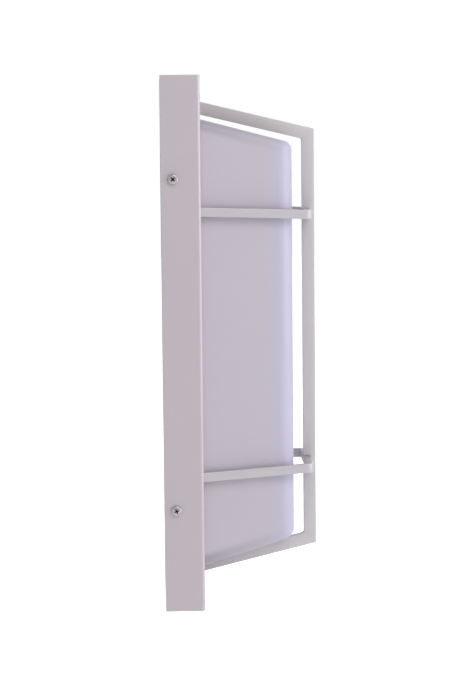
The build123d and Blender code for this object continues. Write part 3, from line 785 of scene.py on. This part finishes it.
# ---- sub-assemblies
@dataclass
class Screw:
    """One screw: a turned head with its recess and a shank with a rolled thread.

    Lengths are in metres. Fields without MM are counts, or shares: of the head's width or height
    for its crown, skirt and recess, and of the pitch for the thread's depth.
    """

    size: float
    length: float
    head_width: float
    head_height: float
    head: Head = Head.PAN
    drive: Drive = Drive.CROSS
    pitch: float = 0.7 * MM
    around: int = 40
    crown_steps: int = 10
    crown_start: float = 0.42
    crown_rise: float = 0.48
    crown_round: float = 0.28
    skirt_inset: float = 0.97
    skirt_rise: float = 0.05
    sunk_lip: tuple[float, float] = (0.1 * MM, 0.12 * MM)
    cross_reach: float = 0.30
    cross_wing: float = 0.065
    cross_root: float = 1.3
    cross_depth: float = 0.62
    cross_taper: float = 0.62
    hex_reach: float = 0.21
    sunk_depth: float = 0.75
    recess_over: float = 1.0 * MM
    recess_reach: float = 0.32
    recess_span: tuple[float, float] = (0.15, 0.8)
    thread_around: int = 24
    thread_rows: int = 6
    thread_depth: float = 0.3
    sunk_shank_start: float = 0.98
    shank_start: float = 0.02 * MM

    def _profile(self) -> list[tuple[float, float]]:
        """Half outline of the head.

        Returns:
            Its corners as (radius, height), from the seat to the crown.
        """
        radius, height = self.head_width / 2, self.head_height
        if self.head is Head.COUNTERSUNK:
            lip = (radius - self.sunk_lip[0], -self.sunk_lip[1])
            return [(self.size / 2, -height), lip, (radius, 0.0), (0.0, 0.0)]
        crown = []
        for step in range(self.crown_steps + 1):
            angle = math.pi / 2 * step / self.crown_steps
            share = 1.0 - self.crown_round + self.crown_round * math.cos(angle)
            rise = self.crown_start + self.crown_rise * math.sin(angle)
            crown.append((radius * share, height * rise))
        seat = [(self.size / 2, 0.0), (radius * self.skirt_inset, 0.0)]
        return [*seat, (radius, self.skirt_rise * height), *crown, (0.0, height)]

    def _head(self, name: str) -> bpy.types.Object:
        """Turn the head's profile round its axis.

        Args:
            name: the object's name.

        Returns:
            The head.
        """
        bm = bmesh.new()
        rings = []
        for radius, height in self._profile():
            around = self.around if radius else 1
            ring = []
            for index in range(around):
                turn = 2 * math.pi * index / around
                spot = (radius * math.cos(turn), radius * math.sin(turn), height)
                ring.append(bm.verts.new(spot))
            rings.append(ring)
        join_rings(bm, rings)
        bm.faces.new(reversed(rings[0]))
        return finish_mesh(name, bm, SCREW_SMOOTH_ANGLE)

    def _recess(self) -> bpy.types.Object:
        """Solid of the recess, tapering to its floor.

        Returns:
            The solid, standing a little over the head.
        """
        sunk = self.head is Head.COUNTERSUNK
        top = 0.0 if sunk else self.head_height
        depth = self.head_height * (self.sunk_depth if sunk else self.cross_depth)
        if self.drive is Drive.HEX:
            taper = 1.0
            radius = self.head_width * self.hex_reach
            turns = [math.pi / 3 * index for index in range(6)]
            outline = [(radius * math.cos(turn), radius * math.sin(turn)) for turn in turns]
        else:
            taper = self.cross_taper
            reach, wing = self.head_width * self.cross_reach, self.head_width * self.cross_wing
            root = wing * self.cross_root
            quarter = [(reach, -wing), (reach, wing), (root, root)]
            outline = []
            for cosine, sine in ((1, 0), (0, 1), (-1, 0), (0, -1)):
                outline += [(x * cosine - y * sine, x * sine + y * cosine) for x, y in quarter]
        bm = bmesh.new()
        upper = [bm.verts.new((x, y, top + self.recess_over)) for x, y in outline]
        lower = [bm.verts.new((x * taper, y * taper, top - depth)) for x, y in outline]
        bm.faces.new(upper)
        bm.faces.new(reversed(lower))
        for index in range(len(outline)):
            after = (index + 1) % len(outline)
            bm.faces.new((upper[index], lower[index], lower[after], upper[after]))
        return finish_mesh("recess", bm)

    def _mark_recess(self, head: bpy.types.Object) -> None:
        """Give the recess's own faces the second material slot, which holds painted shade.

        Args:
            head: the head, with its recess cut.
        """
        top = 0.0 if self.head is Head.COUNTERSUNK else self.head_height
        shallow, deep = (share * self.head_height for share in self.recess_span)
        for face in head.data.polygons:
            from_axis = math.hypot(face.center.x, face.center.y)
            inside = from_axis < self.recess_reach * self.head_width
            if inside and shallow < top - face.center.z < deep:
                face.material_index = 1

    def _shank(self, name: str) -> bpy.types.Object:
        """Shank whose radius follows a helical thread.

        Args:
            name: the object's name.

        Returns:
            The shank.
        """
        rows, around = self.thread_rows, self.thread_around
        sunk = self.head is Head.COUNTERSUNK
        start = -self.head_height * self.sunk_shank_start if sunk else -self.shank_start
        count = max(2, int(self.length / self.pitch * rows))
        root = self.size / 2 - self.thread_depth * self.pitch
        bm = bmesh.new()
        rings = []
        for row in range(count + 1):
            drop = row / count * self.length
            ring = []
            for index in range(around):
                turn = index / around
                phase = (drop / self.pitch + turn) % 1.0
                crest = 1.0 - abs(2.0 * phase - 1.0)
                fade = min(1.0, row / rows, (count - row) / rows)
                radius = root + (self.size / 2 - root) * crest * fade
                angle = 2 * math.pi * turn
                spot = (radius * math.cos(angle), radius * math.sin(angle), start - drop)
                ring.append(bm.verts.new(spot))
            rings.append(ring)
        join_rings(bm, rings[::-1])
        bm.faces.new(rings[0])
        bm.faces.new(reversed(rings[-1]))
        return finish_mesh(name, bm)

    def make(self, name: str, seat: Vector, outward: Vector, turn: float) -> bpy.types.Object:
        """Build the screw in place.

        Args:
            name: the piece's name.
            seat: centre of the head's seat.
            outward: direction in which the head faces.
            turn: the recess's turn about the axis, in degrees.

        Returns:
            The screw, as one mesh.
        """
        head = self._head(name)
        cut(head, self._recess())
        self._mark_recess(head)
        shank = self._shank(name + "_shank")
        bm = bmesh.new()
        bm.from_mesh(head.data)
        bm.from_mesh(shank.data)
        bpy.data.objects.remove(head)
        bpy.data.objects.remove(shank)
        spin = Matrix.Rotation(math.radians(turn), 4, "Z")
        aim = outward.to_track_quat("Z", "Y").to_matrix().to_4x4()
        bmesh.ops.transform(bm, matrix=Matrix.Translation(seat) @ aim @ spin, verts=bm.verts)
        return finish_mesh(name, bm, SCREW_SMOOTH_ANGLE)


def hoop_node(end: End) -> str:
    """Name of one hoop's CAD node."""
    return f"{end.name.lower()}_hoop"


@dataclass
class PanAndBracket:
    """Folded back pan, its wall bracket, and the screws through the pan's sides."""

    screw_size: float = 4.0 * MM
    screw_length: float = 8.0 * MM
    head_width: float = 8.0 * MM
    head_height: float = 3.0 * MM
    turns: tuple[float, ...] = (48.0, 22.0, 70.0, 10.0)

    def dress(self, shop: Paintshop) -> None:
        """Finish the CAD nodes of the pan and the bracket.

        Args:
            shop: the shop that makes the finishes.
        """
        shop.coat_node(PAN_SILVER, "housing_pan")
        shop.coat_node(ZINC, "wall_bracket", "bracket_ears", "clinch_nuts", "ground_washer")
        shop.coat_node(RUBBER, "wall_gasket", "inlet_grommet")
        shop.coat_node(GREEN, "ground_screw")

    def build(self, shop: Paintshop) -> None:
        """Build the side screws in their holes.

        Args:
            shop: the shop that makes the finishes.
        """
        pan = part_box("housing_pan")
        low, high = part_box("side_screws")
        depth = (low.y + high.y) / 2
        height = high.z - self.head_width / 2
        screw = Screw(self.screw_size, self.screw_length, self.head_width, self.head_height)
        places = [(side, end) for side in Side for end in End]
        for number, ((side, end), turn) in enumerate(zip(places, self.turns), 1):
            edge = pan[1].x if side is Side.RIGHT else pan[0].x
            seat = Vector((edge, depth, end.value * height))
            outward = Vector((side.value, 0, 0))
            piece = screw.make(f"side_screw_{number}", seat, outward, turn)
            shop.coat_screw(piece, STAINLESS, "side_screws")


@dataclass
class Lens:
    """Tapered frosted lens with the seal round its flange."""

    def dress(self, shop: Paintshop) -> None:
        """Finish the lens and its seal."""
        shop.coat_node(FROSTED, "diffuser")
        shop.coat_node(SILICONE, "diffuser_gasket")


@dataclass
class Fin:
    """Flat-bar fin on the centre line: two sloping bars and the upright that joins them."""

    edge: float = 0.35 * MM
    weld: float = 2.0 * MM
    notch_play: float = 0.2 * MM
    hoop_strip: float = 7.0 * MM
    screw_size: float = 3.0 * MM
    head_width: float = 5.6 * MM
    head_height: float = 2.1 * MM
    pitch: float = 0.5 * MM
    screw_turn: float = 15.0
    weld_run: float = 3.0
    weld_steps: int = 5

    def _notch(self, end: End) -> list[tuple[float, float]]:
        """Corners of the notch that one hoop sits in.

        Args:
            end: the hoop's half of the lantern.

        Returns:
            The corners as (y, z), going up.
        """
        low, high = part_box(hoop_node(end))
        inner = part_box("fin_front_bar")[1].y
        floor = low.y - self.notch_play
        middle = low.z + self.hoop_strip / 2 if end is End.UPPER else high.z - self.hoop_strip / 2
        half = self.hoop_strip / 2 + self.notch_play
        bottom, top = middle - half, middle + half
        return [(inner, bottom), (floor, bottom), (floor, top), (inner, top)]

    def build(self, shop: Paintshop) -> None:
        """Build the welded loop of three bars and the screws that hold it to the pan.

        Args:
            shop: the shop that makes the finishes.
        """
        bar_low, bar_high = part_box("fin_front_bar")
        top_low, top_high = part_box("fin_top_bar")
        slope = (top_high.z - bar_high.z) / (top_high.y - top_low.y)
        width = bar_high.y - bar_low.y
        rise = width * math.hypot(1.0, slope)
        inner_z = bar_high.z + slope * width - rise
        upper = [
            (top_high.y, top_high.z - rise),
            (top_high.y, top_high.z),
            (bar_low.y, bar_high.z),
        ]
        lower = [(y, -z) for y, z in reversed(upper)]
        corner = self._inner_corner(Vector((bar_high.y, inner_z)), slope)
        outline = [
            *upper,
            *lower,
            *[(spot.x, -spot.y) for spot in reversed(corner)],
            *self._notch(End.LOWER),
            *self._notch(End.UPPER),
            *[(spot.x, spot.y) for spot in corner],
        ]
        piece = side_prism("fin_loop", outline, bar_high.x - bar_low.x, self.edge)
        shop.coat_piece(piece, BAR_SILVER, "fin_top_bar", "fin_front_bar", "fin_bottom_bar")
        self._screws(shop)

    def _inner_corner(self, corner: Vector, slope: float) -> list[Vector]:
        """Points of the upper inner corner, rounded by its weld.

        Args:
            corner: the sharp corner, as (y, z).
            slope: rise of the top bar for each unit towards the wall.

        Returns:
            The points, going up the front bar and then back along the top bar.
        """
        run = self.weld_run * self.weld
        below = corner - Vector((0.0, run))
        behind = corner + Vector((1.0, slope)) * run
        return rounded_route([below, corner, behind], self.weld, self.weld_steps)[1:-1]

    def _screws(self, shop: Paintshop) -> None:
        """Build the two screws that hold the fin, driven from inside the pan.

        Args:
            shop: the shop that makes the finishes.
        """
        low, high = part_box("fin_screws")
        length = high.y - low.y - self.head_height
        screw = Screw(self.screw_size, length, self.head_width, self.head_height, pitch=self.pitch)
        for end in End:
            height = end.value * (high.z - self.head_width / 2)
            seat = Vector((0, high.y - self.head_height, height))
            turn = self.screw_turn * end.value
            piece = screw.make(f"fin_screw_{end.name.lower()}", seat, Vector((0, 1, 0)), turn)
            shop.coat_screw(piece, ZINC, "fin_screws")


@dataclass
class Hoop:
    """Flat bar bent round the lens, leaning towards the lantern's middle at its front."""

    end: End
    strip: float = 7.0 * MM
    thick: float = 5.0 * MM
    tab_thick: float = 2.0 * MM
    front_half_width: float = 43.0 * MM
    bend: float = 6.5 * MM
    edge: float = 0.45 * MM
    bend_steps: int = 8
    screw_size: float = 3.0 * MM
    head_width: float = 5.4 * MM
    head_height: float = 1.6 * MM
    head_play: float = 0.08 * MM
    pitch: float = 0.5 * MM
    screw_turn: float = 20.0

    def _route(self) -> tuple[list[Vector], list[Vector], Vector]:
        """Centre line of the bar.

        Returns:
            Points along it, the direction through its thickness at each, and its height direction.
        """
        low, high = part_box(hoop_node(self.end))
        run = high.y - low.y
        lean = math.asin((high.z - low.z - self.strip) / run)
        up_sign = self.end.value
        outer_z = high.z if self.end is End.UPPER else low.z
        rear_z = outer_z - up_sign * self.strip / 2 * math.cos(lean)
        back = Vector((0, math.cos(lean), up_sign * math.sin(lean)))
        height = Vector((0, -up_sign * math.sin(lean), math.cos(lean)))
        rear = Vector((0, high.y, rear_z))
        pan_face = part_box("housing_pan")[0].y
        tab = (high.y - pan_face) / math.cos(lean)
        reach = run / math.cos(lean) - self.thick / 2
        rear_half = high.x - self.thick / 2
        front_half = self.front_half_width - self.thick / 2
        right = [(front_half, reach), (rear_half, tab), (rear_half, 0)]
        corners = [Vector((-x, y)) for x, y in reversed(right)] + [Vector(spot) for spot in right]
        flat = rounded_route(corners, self.bend - self.thick / 2, self.bend_steps)
        points, across = [], []
        for index, spot in enumerate(flat):
            before = flat[max(index - 1, 0)]
            after = flat[min(index + 1, len(flat) - 1)]
            along = (after - before).normalized()
            points.append(rear + Vector((spot.x, 0, 0)) - back * spot.y)
            across.append(Vector((along.y, 0, 0)) + back * along.x)
        return points, across, height

    def _tab_cut(self) -> bpy.types.Object:
        """Block that thins the bar's two ends to tabs, from the pan's front face to the back.

        Returns:
            The block.
        """
        low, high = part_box(hoop_node(self.end))
        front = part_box("housing_pan")[0].y
        back, bottom, top = high.y + self.thick, low.z - self.thick, high.z + self.thick
        outline = [(front, bottom), (back, bottom), (back, top), (front, top)]
        return side_prism("tab_cut", outline, 2 * (high.x - self.tab_thick), self.edge)

    def build(self, shop: Paintshop) -> None:
        """Build the bar and the screw at its middle.

        Args:
            shop: the shop that makes the finishes.
        """
        node = hoop_node(self.end)
        points, across, height = self._route()
        size = (self.thick, self.strip)
        piece = swept_strip(node + "_piece", points, across, height, size, self.edge)
        cut(piece, self._tab_cut())
        shop.coat_piece(piece, HOOP_SILVER, node)
        low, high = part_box("hoop_screws")
        middle = self.end.value * (high.z - self.head_width / 2 - self.head_play)
        length = high.y - low.y - self.head_height
        sizes = (self.screw_size, length, self.head_width, self.head_height)
        screw = Screw(*sizes, Head.COUNTERSUNK, Drive.HEX, self.pitch)
        name = f"hoop_screw_{self.end.name.lower()}"
        seat = Vector((0, high.y, middle))
        piece = screw.make(name, seat, Vector((0, 1, 0)), self.screw_turn)
        shop.coat_screw(piece, ZINC, "hoop_screws")


@dataclass
class LightTray:
    """Tray, light boards and what fastens them behind the lens."""

    def dress(self, shop: Paintshop) -> None:
        """Finish the tray's CAD nodes.

        Args:
            shop: the shop that makes the finishes.
        """
        shop.coat_node(MILL_ALUMINIUM, "led_tray", "tray_rails")
        shop.coat_node(ZINC, "tray_studs", "tray_nuts", "led_screws", "fixing_screws")
        shop.coat_node(ZINC, "hoop_clips")
        shop.coat_node(RUBBER, "tray_grommet")
        shop.coat_node(BOARD, "led_board_upper", "led_board_lower")
        shop.coat_node(PHOSPHOR, "led_chips")
        shop.coat_node(NYLON, "board_link")


@dataclass
class Power:
    """Driver, terminal block and the leads between them."""

    def dress(self, shop: Paintshop) -> None:
        """Finish the driver's and the terminal block's CAD nodes.

        Args:
            shop: the shop that makes the finishes.
        """
        shop.coat_node(DRIVER_SHELL, "driver_case", "driver_cover")
        shop.coat_node(CIRCUIT, "driver_board")
        shop.coat_node(COMPONENT, "driver_components")
        shop.coat_node(TERMINAL, "terminal_block")
        shop.coat_node(BRASS, "terminal_barrels")
        shop.coat_node(ZINC, "terminal_screws")
        shop.coat_node(INSULATION, "input_leads", "output_leads")


# ---- studio
def grey(level: float) -> tuple[float, float, float, float]:
    """Give the grey of one level, with its alpha."""
    return (level, level, level, 1.0)


@dataclass
class Studio:
    """Pale floor, soft lights and the camera."""

    floor_drop: float = 0.055
    floor_radius: float = 6.0
    floor_sides: int = 128
    floor_colour: tuple[float, float, float, float] = (0.93, 0.93, 0.935, 1)
    floor_roughness: float = 0.9
    floor_glow: float = 0.69
    floor_bounce: float = 0.25
    side_light: float = 0.575
    top_light: float = 0.53
    camera_place: tuple[float, float, float] = (-1.6181, 0.0036, 0.1502)
    yaw: float = -2.102
    pitch: float = -5.056
    roll: float = -0.533
    sensor_width: float = 36.0
    focal_share: float = 2.96
    rise_share: float = -0.03
    view_depth: float = 50.0

    def floor(self) -> None:
        """Lay a round pale floor under the lantern."""
        bm = bmesh.new()
        bmesh.ops.create_circle(
            bm, cap_ends=True, segments=self.floor_sides, radius=self.floor_radius
        )
        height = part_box("housing_pan")[0].z - self.floor_drop
        bmesh.ops.translate(bm, verts=bm.verts, vec=(0, 0, height))
        ground = finish_mesh("studio_floor", bm)
        material = bpy.data.materials.new("pale_floor")
        material.use_nodes = True
        shader = material.node_tree.nodes["Principled BSDF"]
        shader.inputs["Base Color"].default_value = self.floor_colour
        shader.inputs["Roughness"].default_value = self.floor_roughness
        shader.inputs["Emission Strength"].default_value = self.floor_glow
        w = Wiring(material.node_tree)
        sight = w.add("ShaderNodeLightPath")
        shown = w.blend(sight.outputs["Is Camera Ray"], grey(self.floor_bounce), grey(1.0))
        w.link(shown, shader.inputs["Emission Color"])
        ground.data.materials.append(material)

    def world(self) -> None:
        """White backdrop, with soft light that is a little dimmer from above."""
        world = bpy.data.worlds.new("soft_surround")
        bpy.context.scene.world = world
        world.use_nodes = True
        w = Wiring(world.node_tree)
        ramp = w.add("ShaderNodeValToRGB")
        ramp.color_ramp.elements[0].color = grey(self.side_light)
        ramp.color_ramp.elements[1].color = grey(self.top_light)
        w.link(w.split("ShaderNodeTexCoord", "Generated")[2], ramp.inputs[0])
        sight = w.add("ShaderNodeLightPath")
        shown = w.blend(sight.outputs["Is Camera Ray"], ramp.outputs[0], grey(1.0))
        w.link(shown, world.node_tree.nodes["Background"].inputs["Color"])
        bpy.context.scene.view_settings.view_transform = "Standard"

    def light(
        self, name: str, place: tuple, aim: tuple, size: tuple, power: float, colour: Colour
    ) -> None:
        """Add one soft rectangular light.

        Args:
            name: the light's name.
            place: its centre.
            aim: the point that it faces.
            size: its width and height.
            power: its power in watts.
            colour: its colour.
        """
        data = bpy.data.lights.new(name, "AREA")
        data.shape = "RECTANGLE"
        data.size, data.size_y = size
        data.energy = power
        data.color = colour
        lamp = bpy.data.objects.new(name, data)
        lamp.location = place
        lamp.rotation_mode = "QUATERNION"
        lamp.rotation_quaternion = (Vector(aim) - Vector(place)).to_track_quat("-Z", "Y")
        bpy.context.scene.collection.objects.link(lamp)

    def lights(self) -> None:
        """Key from the camera's side and above, fill from the front, and a lift from behind."""
        middle = (0, -0.05, 0)
        self.light("key", (-1.3, -0.6, 1.2), middle, (0.9, 0.9), 8.2, (1.0, 0.98, 0.99))
        self.light("front_fill", (-0.3, -1.8, 0.2), middle, (1.4, 1.6), 18.2, (0.82, 0.855, 0.97))
        self.light("right_fill", (1.5, -0.7, 0.5), middle, (0.9, 0.9), 5.8, (1.0, 0.98, 0.99))

    def camera(self) -> None:
        """Place the camera level with the lantern's upper part, looking along +X."""
        data = bpy.data.cameras.new("camera")
        data.sensor_width = self.sensor_width
        data.lens = self.sensor_width * self.focal_share
        data.shift_y = self.rise_share
        data.clip_end = self.view_depth
        lens = bpy.data.objects.new("camera", data)
        yaw, pitch, roll = (math.radians(value) for value in (self.yaw, self.pitch, self.roll))
        level = math.cos(pitch)
        ahead = Vector((level * math.cos(yaw), level * math.sin(yaw), math.sin(pitch)))
        right = ahead.cross(Vector((0, 0, 1))).normalized()
        up = right.cross(ahead)
        tilted_right = right * math.cos(roll) + up * math.sin(roll)
        tilted_up = up * math.cos(roll) - right * math.sin(roll)
        turn = Matrix((tilted_right, tilted_up, -ahead)).transposed()
        lens.matrix_world = Matrix.Translation(self.camera_place) @ turn.to_4x4()
        bpy.context.scene.collection.objects.link(lens)
        bpy.context.scene.camera = lens


def main() -> None:
    """Build the lantern's looks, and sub-assembly by sub-assembly."""
    logging.basicConfig(level=logging.INFO, format="%(name)s: %(message)s")
    studio = Studio()
    studio.camera()
    studio.floor()
    studio.world()
    studio.lights()
    shop = Paintshop()
    pan = PanAndBracket()
    pan.dress(shop)
    pan.build(shop)
    Lens().dress(shop)
    Fin().build(shop)
    for end in End:
        Hoop(end).build(shop)
    LightTray().dress(shop)
    Power().dress(shop)


if __name__ == "__main__":
    main()
